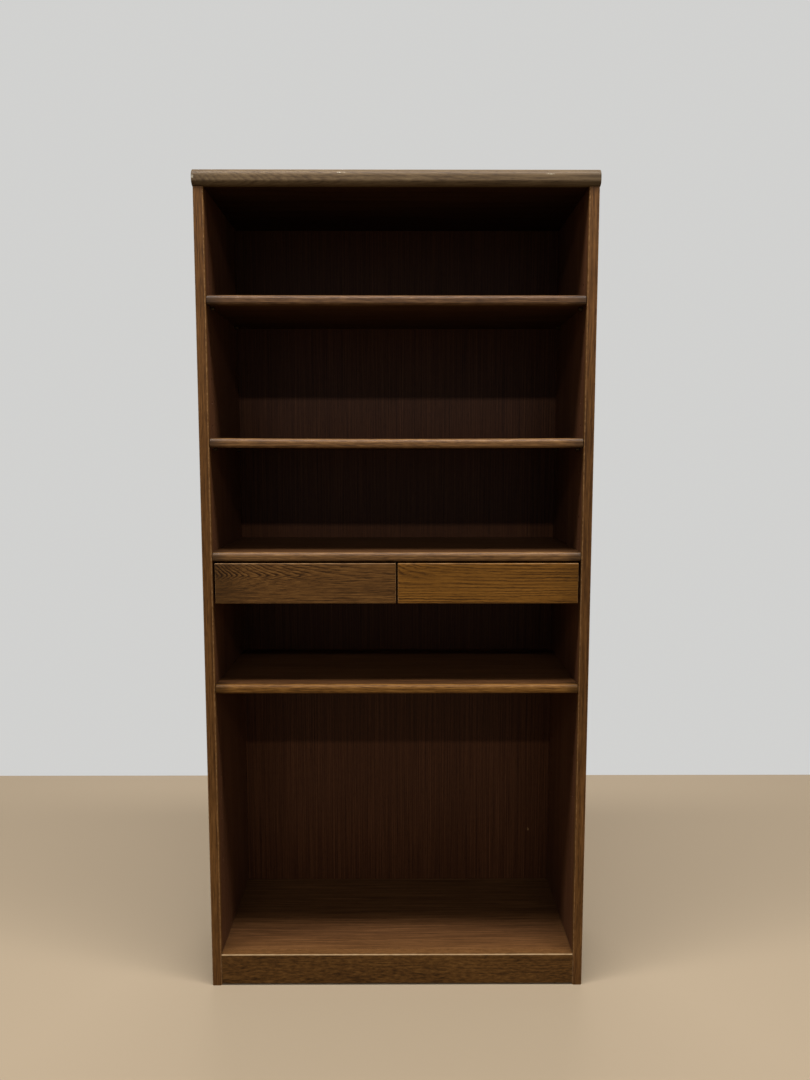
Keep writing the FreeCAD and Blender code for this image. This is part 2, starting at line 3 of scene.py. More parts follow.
import bpy
import numpy as np
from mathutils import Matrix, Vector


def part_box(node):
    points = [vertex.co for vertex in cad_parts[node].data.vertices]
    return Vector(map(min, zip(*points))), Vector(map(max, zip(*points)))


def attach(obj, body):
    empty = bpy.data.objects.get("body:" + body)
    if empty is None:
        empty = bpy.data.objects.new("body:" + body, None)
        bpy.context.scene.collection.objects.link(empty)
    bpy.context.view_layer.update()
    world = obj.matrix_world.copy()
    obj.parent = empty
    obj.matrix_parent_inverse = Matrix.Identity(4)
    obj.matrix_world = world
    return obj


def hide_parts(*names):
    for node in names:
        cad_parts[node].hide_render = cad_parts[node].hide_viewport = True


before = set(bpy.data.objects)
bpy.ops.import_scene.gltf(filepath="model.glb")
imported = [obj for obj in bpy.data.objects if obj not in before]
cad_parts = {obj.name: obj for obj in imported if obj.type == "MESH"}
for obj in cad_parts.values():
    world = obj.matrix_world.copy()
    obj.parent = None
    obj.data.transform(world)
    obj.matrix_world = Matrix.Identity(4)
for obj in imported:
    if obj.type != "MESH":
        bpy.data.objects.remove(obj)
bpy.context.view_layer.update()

# Side panels: two tall boards, rebated for the back and bored with rows of shelf-pin holes.
# Straight-grained oak veneer, stained dark brown and lacquered to a satin, the grain upright.
# They stand on the floor and carry the top, the fixed shelf, the base and the loose shelves' pins.


class Finish:
    """A material put together node by node: each method adds one node and returns its output."""

    def __init__(self, name, **shader):
        self.material = bpy.data.materials.new(name)
        self.material.use_nodes = True
        self.tree = self.material.node_tree
        self.shader = self.tree.nodes["Principled BSDF"]
        self.give(**shader)

    def feed(self, socket, value):
        """Sets a socket to a number or colour, or links another node's output to it."""
        if isinstance(value, bpy.types.NodeSocket):
            self.tree.links.new(value, socket)
        else:
            socket.default_value = value

    def give(self, **sockets):
        """Feeds the shader's own sockets, named with _ for each space."""
        for name, value in sockets.items():
            self.feed(self.shader.inputs[name.replace("_", " ")], value)

    def add(self, kind, inputs, output=0, **settings):
        """One node of a kind, with its settings made and its inputs fed."""
        node = self.tree.nodes.new(f"ShaderNode{kind}")
        for setting, value in settings.items():
            setattr(node, setting, value)
        for socket, value in inputs.items():
            self.feed(node.inputs[socket], value)
        return node.outputs[output]

    def place(self, turn=(0, 0, 0), shift=(0, 0, 0)):
        """The piece's own coordinates in metres, turned by degrees and then shifted."""
        own = self.add("TexCoord", {}, "Object")
        radians = [math.radians(angle) for angle in turn]
        return self.add("Mapping", {"Vector": own, "Rotation": radians, "Location": shift})

    def noise(self, place, per_metre, detail=2.0, output="Fac", crisp=0.5):
        """Cloudy noise with so many patches per metre along each axis.

        It is crisper the more its finest part weighs."""
        scaled = self.add("VectorMath", {0: place, 1: per_metre}, operation="MULTIPLY")
        inputs = {"Vector": scaled, "Scale": 1.0, "Detail": detail, "Roughness": crisp}
        return self.add("TexNoise", inputs, output)

    def blend(self, value, weight, rest):
        """value * weight + rest."""
        return self.add("Math", {0: value, 1: weight, 2: rest}, operation="MULTIPLY_ADD")

    def band(self, value, low, high, start=0.0, end=1.0):
        """start below low and end above high, with a smooth step between."""
        limits = {"Value": value, "From Min": low, "From Max": high, "To Min": start, "To Max": end}
        return self.add("MapRange", limits, interpolation_type="SMOOTHSTEP")

    def ramp(self, value, stops):
        """A colour that runs through the stops, each a place from 0 to 1 and a colour."""
        color = self.add("ValToRGB", {"Fac": value})
        elements = color.node.color_ramp.elements
        for position, tint in stops[1:-1]:
            elements.new(position)
        elements[0].position = stops[0][0]
        elements[-1].position = stops[-1][0]
        for element, (position, tint) in zip(elements, stops):
            element.color = (*tint, 1.0)
        return color

    def mix(self, factor, under, over):
        """One colour laid over another by a factor."""
        inputs = {"Factor": factor, 6: under, 7: over}
        return self.add("Mix", inputs, 2, data_type="RGBA")


UPRIGHT = (0, 90, 0)
LENGTHWISE = (0, 0, 0)
DEPTHWISE = (0, 0, -90)


class Wood(Finish):
    """Wood, cut from a log that lies along the grain.

    R is the distance to the log's pith line, which noise drawn out along the grain bends by up to bend.
    A flame leads the line off by lead * exp((start - x) / fade) and makes R = depth + slope * height,
    with a slope above and below the line, so that the rings run out into points. The lead dies out some
    way below the line. Away from the start, and below the line, the figure fades to the share faint.
    More noise makes the rings uneven. fract(R / ring) is the place in a ring, from dark open pores to
    pale dense wood. Clouds, streaks and pore dashes are noise at other scales. streak counts the streaks
    per metre along and across the grain, figure weighs rings, streaks and clouds, and browns run from
    the pores to the palest wood."""

    # Patches of noise per metre, along the grain and in the two directions across it.
    BENDS = (2.0, 11.0, 11.0)
    RIPPLES = (60.0, 150.0, 150.0)
    CLOUDS = (2.5, 18.0, 18.0)
    PATCHES = (5.0, 45.0, 45.0)
    DASHES = (55.0, 1500.0, 1500.0)
    GRIT = (60.0, 160.0, 160.0)
    SCUFF_GRIT = (500.0, 500.0, 500.0)

    # A ring from its pores to its dense wood and back, the level in it that leaves the wood's tone as it
    # is, and what ripples and uneven growth do to it. Rings show more strongly in some patches.
    RING = ((0.0, (0, 0, 0)), (0.3, (0.62, 0.62, 0.62)), (0.75, (1, 1, 1)), (1.0, (0, 0, 0)))
    NEUTRAL_RING = 0.7
    PATCH_EDGE = (0.3, 0.7)
    PATCH_STRENGTH = (0.25, 1.1)
    RIPPLE_SHARE = 0.6
    UNEVEN_SHARE = 0.22
    UNEVEN_RINGS = 2.0

    # A flame, in metres from the pith line: where its lead dies out and its figure fades below the line,
    # how far to each side its slope changes, and how blunt its points are.
    LEAD_FADE = (-0.06, -0.01)
    FIGURE_FADE = (-0.02, 0.004)
    SLOPE_CHANGE = 0.003
    BLUNTNESS = 0.002

    # The dashes' edge and depth in the figure, the places of the three browns in it, the lacquer over it
    # and the relief of the pores.
    DASH_EDGE = (0.56, 0.66)
    DASH_DEPTH = -0.2
    BROWN_PLACES = (0.12, 0.5, 0.88)
    GLOSS = 0.08
    PALE_WOOD_POLISH = -0.16
    PORE_ROUGHNESS = 0.08
    RELIEF = 0.0004
    RELIEF_STRENGTH = 0.35

    # Wear: what grit weighs on rubbed arrises and in scuffs, where a scuff ends, and how flat a face is
    # that counts as the upper or the lower one.
    GRIT_WEIGHT = 0.9
    SCUFF_GRIT_WEIGHT = 2.5
    SCUFF_EDGE = (1.5, 1.9)
    UPPER_FACE = (0.97, 1.0)
    LOWER_FACE = (-0.985, -1.0)

    def __init__(self, name, browns, turn, pith, ring, figure, streak, bend=0.012, flame=None, rough=0.45):
        super().__init__(name, Specular_IOR_Level=self.GLOSS)
        log = self.place(turn, pith)
        if flame:
            start, fade = flame["start"], flame["fade"]
            along = self.add("SeparateXYZ", {0: self.place(turn)}, "X")
            fall = self.add("Math", {0: self.blend(along, -1 / fade, start / fade)}, operation="EXPONENT")
            near = self.band(self.add("SeparateXYZ", {0: log}, "Z"), *self.LEAD_FADE)
            fall = self.add("Math", {0: fall, 1: near}, operation="MULTIPLY")
            led = {0: fall, 1: (0, flame["lead"], 0), 2: log}
            log = self.add("VectorMath", led, operation="MULTIPLY_ADD")
        bends = self.noise(log, self.BENDS, 5.0, "Color")
        bent = self.add("VectorMath", {0: bends, 1: (bend,) * 3, 2: log}, operation="MULTIPLY_ADD")
        ripples = self.noise(bent, self.RIPPLES, 3.0, "Color")
        sway = {0: ripples, 1: (ring * self.RIPPLE_SHARE,) * 3, 2: bent}
        rippled = self.add("VectorMath", sway, operation="MULTIPLY_ADD")
        if flame:
            depth = self.add("SeparateXYZ", {0: rippled}, "Y")
            height = self.add("SeparateXYZ", {0: rippled}, "Z")
            blunted = {0: height, 1: height, 2: self.BLUNTNESS ** 2}
            square = self.add("Math", blunted, operation="MULTIPLY_ADD")
            change = self.SLOPE_CHANGE
            slope = self.band(height, -change, change, flame["below"], flame["above"])
            radius = self.blend(self.add("Math", {0: square}, operation="SQRT"), slope, depth)
        else:
            across = self.add("VectorMath", {0: rippled, 1: (0, 1, 1)}, operation="MULTIPLY")
            radius = self.add("VectorMath", {0: across}, "Value", operation="LENGTH")
        growth = {"W": radius, "Scale": self.UNEVEN_SHARE / ring, "Detail": 1.0}
        uneven = self.add("TexNoise", growth, "Fac", noise_dimensions="1D")
        count = self.blend(radius, 1 / ring, self.blend(uneven, self.UNEVEN_RINGS, 0.0))
        share = self.add("Math", {0: count}, operation="FRACT")
        rings = self.ramp(share, self.RING)
        run, width = streak
        streaks = self.noise(bent, (run, width, width), 3.0, crisp=0.6)
        clouds = self.noise(log, self.CLOUDS, 3.0)
        patches = self.noise(bent, self.PATCHES, 2.0)
        strength = self.band(patches, *self.PATCH_EDGE, *self.PATCH_STRENGTH)
        if flame:
            faint = flame["faint"]
            faded = self.band(along, start, start + 2 * fade, 1.0, faint)
            lower = self.band(height, *self.FIGURE_FADE, faint, 1.0)
            faded = self.add("Math", {0: faded, 1: lower}, operation="MULTIPLY")
            strength = self.add("Math", {0: strength, 1: faded}, operation="MULTIPLY")
        dashes = self.noise(bent, self.DASHES, 1.0)
        by_ring, by_streak, by_cloud = figure
        lines = self.blend(rings, by_ring, -self.NEUTRAL_RING * by_ring)
        lines = self.blend(lines, strength, 0.5 - by_streak / 2 - by_cloud / 2)
        level = self.blend(clouds, by_cloud, self.blend(streaks, by_streak, lines))
        self.level = self.blend(self.band(dashes, *self.DASH_EDGE), self.DASH_DEPTH, level)
        self.wood = self.tint(browns)
        roughness = self.blend(self.level, self.PALE_WOOD_POLISH, rough + self.PORE_ROUGHNESS)
        self.give(Base_Color=self.wood, Roughness=roughness)
        bump = {"Height": self.level, "Strength": self.RELIEF_STRENGTH, "Distance": self.RELIEF}
        self.give(Normal=self.add("Bump", bump))

    def tint(self, browns):
        """The figure in three browns."""
        return self.ramp(self.level, list(zip(self.BROWN_PLACES, browns)))

    def lay(self, factor, color):
        """Lays another colour over the wood by a factor."""
        self.wood = self.mix(factor, self.wood, color)
        self.give(Base_Color=self.wood)

    def wear(self, color, low=1.1, high=1.75):
        """Rubs the arrises, where the mesh's own worn value and fine noise are high."""
        edge = self.add("Attribute", {}, "Fac", attribute_name="worn")
        grit = self.noise(self.place(), self.GRIT, 4.0)
        rubbed = self.blend(grit, self.GRIT_WEIGHT, edge)
        self.lay(self.band(rubbed, low, high), (*color, 1.0))

    def cover(self, browns):
        """Other browns on the flat upper face, where the mesh's own upward value is 1."""
        upward = self.add("Attribute", {}, "Fac", attribute_name="upward")
        self.lay(self.band(upward, *self.UPPER_FACE), self.tint(browns))

    def shade(self, browns):
        """Painted shade: other browns on the flat lower face, where the mesh's own upward value is -1."""
        upward = self.add("Attribute", {}, "Fac", attribute_name="upward")
        self.lay(self.band(upward, *self.LOWER_FACE), self.tint(browns))

    def change(self, axis, low, high, browns):
        """Other browns past a place along an axis."""
        reach = self.add("SeparateXYZ", {0: self.place()}, axis)
        self.lay(self.band(reach, low, high), self.tint(browns))

    def dim(self, low, high, amount):
        """Darkens the wood towards both ends, from low to high out from the middle."""
        side = self.add("SeparateXYZ", {0: self.place()}, "X")
        outward = self.add("Math", {0: side}, operation="ABSOLUTE")
        self.lay(self.band(outward, low, high, 0.0, amount), (0, 0, 0, 1))

    def scuff(self, spot, size, color):
        """A ragged pale scuff about a spot, with a size along each axis."""
        off = self.place(shift=[-part for part in spot])
        away = self.add("VectorMath", {0: off, 1: [1 / part for part in size]}, operation="MULTIPLY")
        away = self.add("VectorMath", {0: away}, "Value", operation="LENGTH")
        grit = self.noise(self.place(), self.SCUFF_GRIT, 3.0)
        ragged = self.blend(grit, self.SCUFF_GRIT_WEIGHT, away)
        self.lay(self.band(ragged, *self.SCUFF_EDGE, 1.0, 0.0), (*color, 1.0))


def dress(names, material, ease=0.0005):
    """Gives nodes that keep their own solids a finish, and takes the sharpness off their arrises."""
    for name in names:
        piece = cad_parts[name]
        piece.material_slots[0].material = material
        weld = piece.modifiers.new("weld", "WELD")
        weld.merge_threshold = 1e-5
        eased = piece.modifiers.new("ease", "BEVEL")
        eased.width = ease
        eased.segments = 2
        eased.limit_method = "ANGLE"
        eased.loop_slide = False


DARK_VENEER = ((0.022, 0.0080, 0.0035), (0.068, 0.0265, 0.0110), (0.125, 0.054, 0.0230))
side_veneer = Wood("side_veneer", DARK_VENEER, UPRIGHT, pith=(0, 0.9, 0.35), ring=0.0055,
                   figure=(0.3, 0.7, 0.4), streak=(1.5, 170))
dress(["left_side_panel", "right_side_panel"], side_veneer.material, ease=0.0004)

# Side edgings: solid oak lippings glued to the front edges of the sides, 22 mm wide.
# Straight upright grain, stained mid brown, both arrises rounded over and rubbed a little paler.


def outline(depth, height, rounds, steps=8):
    """The end view of a strip as points, outward normals and how near each lies to an arris.

    A rectangle with its front at 0, walked from the lower front corner: each corner is a quarter arc of
    its own radius, centre + radius * (cos a, sin a). A negative radius is a cove about the corner. An
    arris is rubbed in full up to rubbed_radius, and less the rounder it is."""
    rubbed_radius = 0.004
    least_radius = 1e-6
    share = np.linspace(0, 1, steps)
    corners = [(0, 0, 180), (depth, 0, 270), (depth, height, 0), (0, height, 90)]
    points, normals = [], []
    for (y, z, start), radius in zip(corners, rounds):
        angle = np.radians(start + 90 * share)
        if radius < 0:
            angle = np.radians(start - 90 - 90 * share)
        arc = np.stack([np.cos(angle), np.sin(angle)], 1)
        inset = max(radius, 0) * np.sign([depth / 2 - y, height / 2 - z])
        points.append(np.array([y, z]) + inset + abs(radius) * arc)
        normals.append(arc * np.sign(radius))
    near = [min(1.0, rubbed_radius / max(abs(radius), least_radius)) for radius in rounds]
    arris = np.outer(near, np.sin(np.pi * share)).ravel()
    return np.concatenate(points), np.concatenate(normals), arris


def strip(name, low, high, along, rounds, end_round=0.0008, front_end_round=None, stations=60, sag=0.0):
    """A moulding between two corners: an outline carried along X or Z, its ends rounded off.

    Station by station the outline moves along the path. Over the rounded ends it also draws in by
    radius * (1 - cos a) while it moves out by radius * sin a. sag lowers the middle of an X strip by a
    parabola. Normals follow the same arcs, so flats stay flat and rounds stay smooth."""
    low, high = np.array(low), np.array(high)
    order = [0, 1, 2] if along == "X" else [2, 1, 0]
    length, depth, height = (high - low)[order]
    points, outward, arris = outline(depth, height, rounds)
    front_round = front_end_round or end_round
    end = end_round + (front_round - end_round) * np.clip(-outward[:, 0], 0, 1)
    turn = np.linspace(0, np.pi / 2, 7)
    lean = np.concatenate([-turn[::-1], np.zeros(stations), turn])
    run = np.concatenate([np.zeros(len(turn)), np.linspace(0, 1, stations + 2)[1:-1], np.ones(len(turn))])
    run, lean = run[:, None], lean[:, None]
    inset = end * (1 - np.cos(lean))
    path = end + (length - 2 * end) * run + end * np.sin(lean)
    across = points - outward * inset[..., None]
    grid = np.concatenate([path[..., None], across], 2)
    normals = np.concatenate([np.broadcast_to(np.sin(lean)[..., None], (*path.shape, 1)),
                              outward * np.cos(lean)[..., None]], 2)
    worn = np.maximum(arris * np.cos(lean), np.abs(np.sin(2 * lean)))
    grid, normals = grid[..., order] + low, normals[..., order]
    if sag:
        middle = (low[0] + high[0]) / 2
        grid[..., 2] -= sag * (1 - ((grid[..., 0] - middle) / (length / 2)) ** 2)
    rows, columns = path.shape
    corner = np.arange(rows * columns).reshape(rows, columns)
    near, far = corner[:-1], corner[1:]
    quads = np.stack([near, far, np.roll(far, -1, 1), np.roll(near, -1, 1)], 2).reshape(-1, 4)
    faces = [*quads[:, ::-1].tolist(), corner[0][::-1].tolist(), corner[-1].tolist()]
    if along == "Z":
        faces = [face[::-1] for face in faces]
    mesh = bpy.data.meshes.new(name)
    mesh.from_pydata(grid.reshape(-1, 3).tolist(), [], faces)
    mesh.polygons.foreach_set("use_smooth", [True] * len(faces))
    mesh.normals_split_custom_set_from_vertices(normals.reshape(-1, 3).tolist())
    upward = np.broadcast_to(outward[:, 1], worn.shape)
    for mark, values in (("worn", worn), ("upward", upward)):
        mesh.attributes.new(mark, "FLOAT", "POINT").data.foreach_set("value", values.ravel())
    piece = bpy.data.objects.new(name, mesh)
    bpy.context.scene.collection.objects.link(piece)
    return piece


def fit(piece, node, body, material):
    """Lets a new piece stand for a node, on that node's body and with a finish for its slot."""
    piece.data.materials.append(material)
    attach(piece, body)
    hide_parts(node)


MID_OAK = ((0.027, 0.0104, 0.0026), (0.080, 0.0335, 0.0086), (0.140, 0.063, 0.0180))
PALER_OAK = ((0.032, 0.0124, 0.0030), (0.095, 0.0400, 0.0102), (0.160, 0.073, 0.0210))
RUBBED_OAK = (0.21, 0.115, 0.048)
edging_oak = Wood("edging_oak", MID_OAK, UPRIGHT, pith=(0, 0.25, 0.35), ring=0.006,
                  figure=(0.3, 1.1, 0.4), streak=(16, 300))
edging_oak.change("Z", low=0.65, high=0.35, browns=PALER_OAK)
edging_oak.wear(RUBBED_OAK)
EDGING_ROUND, EDGING_END, SHARP = 0.004, 0.0005, 0.0004
edging_rounds = (EDGING_ROUND, SHARP, SHARP, EDGING_ROUND)
for hand in ("left", "right"):
    node = f"{hand}_side_edging"
    edging = strip(f"{hand}_lipping", *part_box(node), "Z", edging_rounds, EDGING_END)
    fit(edging, node, "case", edging_oak.material)

# Top: a thick veneered board with a solid oak nosing glued along its front.
# The nosing is moulded to a tall bullnose, fuller above than below, with flames in its grain.
# Loose tongues hold the board to the sides, and it shows a few scuffs along its front.
# The underside browns are darker than the upper face's: painted shade, for the board's underside and the
# nosing's flat lower face.
UNDERSIDE_SHADE_VENEER = ((0.010, 0.0040, 0.0016), (0.023, 0.0094, 0.0036), (0.044, 0.0195, 0.0075))
TOP_VENEER = ((0.022, 0.0095, 0.0040), (0.062, 0.0285, 0.0116), (0.112, 0.055, 0.0240))
UNDERSIDE_DARK, UNDERSIDE_END = 0.001, 0.003
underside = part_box("top_panel")[0].z
top_veneer = Wood("top_veneer", UNDERSIDE_SHADE_VENEER, LENGTHWISE, pith=(0, 0.4, 0.6), ring=0.006,
                  figure=(0.3, 0.8, 0.4), streak=(3, 200))
top_veneer.change("Z", underside + UNDERSIDE_DARK, underside + UNDERSIDE_END, TOP_VENEER)
dress(["top_panel"], top_veneer.material)
OLIVE_OAK = ((0.025, 0.0140, 0.0066), (0.077, 0.0475, 0.0225), (0.127, 0.087, 0.0430))
CHIPPED = (0.25, 0.22, 0.165)
RUBBED_TOP = (0.12, 0.096, 0.050)
top_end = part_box("top_nosing")[0].x
top_flame = {"start": top_end, "fade": 0.3, "lead": -0.11, "above": 0.35, "below": 0.25, "faint": 0.6}
top_oak = Wood("top_oak", OLIVE_OAK, LENGTHWISE, pith=(0, 0.3, -1.780), ring=0.0040,
               figure=(0.28, 0.8, 0.3), streak=(8, 300), bend=0.009, flame=top_flame)
# The nosing's flat lower face takes the underside browns: painted shade.
top_oak.shade(UNDERSIDE_SHADE_VENEER)
top_oak.wear(RUBBED_TOP)
top_oak.dim(low=0.35, high=0.425, amount=0.22)
top_oak.scuff(spot=(-0.4225, -0.172, 1.784), size=(0.004, 0.02, 0.006), color=CHIPPED)
top_oak.scuff(spot=(-0.115, -0.170, 1.793), size=(0.018, 0.01, 0.0020), color=CHIPPED)
top_oak.scuff(spot=(0.318, -0.171, 1.790), size=(0.014, 0.01, 0.0018), color=CHIPPED)
TOP_UPPER_ROUND, TOP_LOWER_ROUND, TOP_END = 0.017, 0.012, 0.0015
top_rounds = (TOP_LOWER_ROUND, SHARP, SHARP, TOP_UPPER_ROUND)
top_nosing = strip("top_bullnose", *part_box("top_nosing"), "X", top_rounds, TOP_END, stations=200)
fit(top_nosing, "top_nosing", "case", top_oak.material)

# Loose tongues: two thin strips of plain softwood between the sides and the top.
# They are glued into grooves in both and stay out of sight.
PALE_WOOD = ((0.20, 0.115, 0.055), (0.42, 0.275, 0.15), (0.56, 0.40, 0.24))
softwood = Wood("softwood", PALE_WOOD, LENGTHWISE, pith=(0, 0.05, 0.03), ring=0.004,
                figure=(0.3, 0.4, 0.3), streak=(9, 150), rough=0.6)
dress(["top_splines"], softwood.material, ease=0.0002)

# Back: one thin plywood sheet in the rebates of the sides and the top.
# Oak veneer with fine upright grain, stained dark, faces the bays. The rear face is bare plywood.
BACK_VENEER = ((0.018, 0.0058, 0.0020), (0.045, 0.0155, 0.0057), (0.085, 0.033, 0.0130))
BARE_PLYWOOD = ((0.26, 0.155, 0.075), (0.44, 0.295, 0.16), (0.56, 0.40, 0.24))
STAIN_END, BARE_DEPTH = 0.0018, 0.0010
rear_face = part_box("back_panel")[1].y
back_veneer = Wood("back_veneer", BACK_VENEER, UPRIGHT, pith=(0, 0.2, 1.4), ring=0.005,
                   figure=(0.2, 1.1, 0.1), streak=(3, 330), bend=0.006)
back_veneer.change("Y", rear_face - STAIN_END, rear_face - BARE_DEPTH, BARE_PLYWOOD)
back_veneer.scuff(spot=(0.349, 0.169, 0.213), size=(0.003, 0.002, 0.008), color=RUBBED_OAK)
dress(["back_panel"], back_veneer.material, ease=0.0003)

# Nails: small bright steel ones with flat heads, driven through the back sheet from behind.
# They hold it to the sides, the top and the base, their heads just proud of it.
DULL_STEEL, BRIGHT_STEEL = (0.30, 0.29, 0.28), (0.52, 0.51, 0.50)
steel = Finish("nail_steel", Metallic=1.0)
scratches = steel.noise(steel.place(), (900.0, 900.0, 900.0), 3.0)
steel.give(Base_Color=steel.ramp(scratches, [(0.2, DULL_STEEL), (0.8, BRIGHT_STEEL)]))
steel.give(Roughness=steel.blend(scratches, 0.25, 0.25))
dress(["back_panel_nails"], steel.material, ease=0.0001)

# Base: a fixed veneered board housed in the sides, level with the solid oak plinth in front of it.
# A rear rail and glue blocks in the corners stiffen it underneath, of bare softwood.
BROWN_VENEER = ((0.025, 0.0100, 0.0035), (0.058, 0.0243, 0.0084), (0.098, 0.044, 0.0163))
LIT_FRONT_VENEER = ((0.043, 0.0177, 0.0056), (0.090, 0.0386, 0.0122), (0.143, 0.065, 0.0226))
base_veneer = Wood("base_veneer", BROWN_VENEER, LENGTHWISE, pith=(0, 0.3, 0.9), ring=0.006,
                   figure=(0.15, 1.8, 0.25), streak=(5, 430))
# Towards the front the browns turn paler: a painted pool of light where the overhead light reaches under
# the shelf above.
LIT_FRONT_DEPTH, LIT_FRONT_BEYOND = 0.071, 0.014
base_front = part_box("base_shelf")[0].y
base_veneer.change("Y", base_front + LIT_FRONT_DEPTH, base_front - LIT_FRONT_BEYOND, LIT_FRONT_VENEER)
dress(["base_shelf"], base_veneer.material)
dress(["base_rear_rail", "base_glue_blocks"], softwood.material)
PLINTH_OAK = ((0.021, 0.0085, 0.0020), (0.075, 0.0325, 0.0075), (0.139, 0.065, 0.0165))
PLINTH_TOP = ((0.056, 0.0235, 0.0066), (0.088, 0.0380, 0.0115), (0.122, 0.054, 0.0175))
RUBBED_AND_HIGHLIT_PLINTH = (0.26, 0.17, 0.085)
plinth_oak = Wood("plinth_oak", PLINTH_OAK, LENGTHWISE, pith=(0, 0.225, -0.03), ring=0.0028,
                  figure=(0.25, 1.15, 0.5), streak=(70, 230), bend=0.03)
plinth_oak.cover(PLINTH_TOP)
# Its arrises are rubbed paler, real wear made strong and unbroken so that it also serves as a painted
# highlight along the top arris.
plinth_oak.wear(RUBBED_AND_HIGHLIT_PLINTH, low=0.8, high=1.4)
PLINTH_UPPER_ROUND, PLINTH_LOWER_ROUND, PLINTH_END = 0.003, 0.0008, 0.0004
plinth_rounds = (PLINTH_LOWER_ROUND, SHARP, SHARP, PLINTH_UPPER_ROUND)
plinth = strip("plinth", *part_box("plinth_board"), "X", plinth_rounds, PLINTH_END)
fit(plinth, "plinth_board", "case", plinth_oak.material)

# Fixed shelf over the drawers: a veneered board housed in the sides with a solid oak nosing.
# The nosing is rounded, more above than below, its arrises rubbed paler by hands, its ends darkened as
# painted shade.
SHELF_UPPER_ROUND, SHELF_LOWER_ROUND = 0.009, 0.005
shelf_rounds = (SHELF_LOWER_ROUND, SHARP, SHARP, SHELF_UPPER_ROUND)
NOSING_OAK = ((0.034, 0.0142, 0.0038), (0.101, 0.0463, 0.0134), (0.162, 0.082, 0.0268))
NOSING_TOP = ((0.014, 0.0060, 0.0020), (0.038, 0.0160, 0.0055), (0.072, 0.032, 0.0120))


def nosing_wood(name, browns, pith, gloss):
    """Nosing oak: fine short streaks, browner on the flat on top, rubbed arrises, painted shade at the
    ends.
    """
    wood = Wood(name, browns, LENGTHWISE, pith, ring=0.005, figure=(0.3, 1.5, 0.35), streak=(30, 380))
    wood.cover(NOSING_TOP)
    wood.wear(RUBBED_OAK)
    # Darker towards both ends, where the nosing meets the sides: painted shade.
    wood.dim(low=0.352, high=0.402, amount=0.55)
    wood.give(Specular_IOR_Level=gloss)
    return wood.material


nosing_oak = nosing_wood("nosing_oak", NOSING_OAK, pith=(0, 0.30, 0.1), gloss=0.15)
# The shelf veneer's browns are darker than the base veneer's: painted shade for the shade inside the bays.
SHADED_VENEER = ((0.014, 0.0055, 0.0019), (0.040, 0.0163, 0.0056), (0.076, 0.034, 0.0125))
shelf_veneer = Wood("shelf_veneer", SHADED_VENEER, LENGTHWISE, pith=(0, 0.3, 0.9), ring=0.006,
                    figure=(0.15, 1.1, 0.25), streak=(6, 260))
dress(["drawer_shelf_panel"], shelf_veneer.material)
nosing = strip("fixed_shelf_nosing", *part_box("drawer_shelf_nosing"), "X", shelf_rounds)
fit(nosing, "drawer_shelf_nosing", "case", nosing_oak)

# Drawer space: a divider and a rear rail of softwood under the fixed shelf.
# Four hardwood runners, housed in the sides and the divider, carry the drawers by their grooves.
# The divider's front edge takes the shelf veneer's darkened browns: painted shade in the gap between the
# drawers.
HARDWOOD = ((0.16, 0.085, 0.038), (0.33, 0.195, 0.098), (0.46, 0.30, 0.165))
runner_wood = Wood("runner_wood", HARDWOOD, DEPTHWISE, pith=(0, 0.2, 0.1), ring=0.003,
                   figure=(0.2, 0.4, 0.3), streak=(9, 200))
divider_wood = Wood("divider_wood", SHADED_VENEER, DEPTHWISE, pith=(0, 0.05, 0.1), ring=0.004,
                    figure=(0.3, 0.4, 0.3), streak=(9, 150))
SHADED_FRONT_DEPTH, SHADED_FRONT_FADE = 0.009, 0.015
divider_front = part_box("drawer_divider")[0].y
divider_wood.change("Y", divider_front + SHADED_FRONT_DEPTH, divider_front + SHADED_FRONT_FADE, PALE_WOOD)
dress(["drawer_divider"], divider_wood.material)
dress(["drawer_rear_rail"], softwood.material)
for place in ("left_outer", "left_inner", "right_inner", "right_outer"):
    dress([f"{place}_runner"], runner_wood.material)

# Loose shelves: three veneered boards with rounded oak nosings, each resting on four pins.
# Long use has let them sag a little, the middle one most.
SAG = {"upper": 0.0006, "middle": 0.0018, "lower": 0.0003}
SHELF_EASE = 0.0005
board_rounds = (SHELF_EASE,) * 4
# The upper nosing's browns are darker and the lower one's brighter and warmer than the middle one's:
# painted shade above, painted light below.
UPPER_NOSING_SHADED_OAK = ((0.026, 0.0112, 0.0041), (0.073, 0.0340, 0.0126), (0.119, 0.061, 0.0247))
LOWER_NOSING_LIT_OAK = ((0.038, 0.0146, 0.0028), (0.112, 0.0475, 0.0090), (0.180, 0.085, 0.0200))
nosing_woods = {
    "upper": nosing_wood("upper_nosing_oak", UPPER_NOSING_SHADED_OAK, pith=(0, 0.33, 0.2), gloss=0.12),
    "middle": nosing_oak,
    "lower": nosing_wood("lower_nosing_oak", LOWER_NOSING_LIT_OAK, pith=(0, 0.27, 0.15), gloss=0.08),
}
for name, sag in SAG.items():
    body = f"{name}_shelf"
    panel_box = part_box(f"{name}_shelf_panel")
    panel = strip(f"{name}_board", *panel_box, "X", board_rounds, SHELF_EASE, sag=sag)
    fit(panel, f"{name}_shelf_panel", body, shelf_veneer.material)
    nosing = strip(f"{name}_nosing", *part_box(f"{name}_shelf_nosing"), "X", shelf_rounds, sag=sag)
    fit(nosing, f"{name}_shelf_nosing", body, nosing_woods[name])

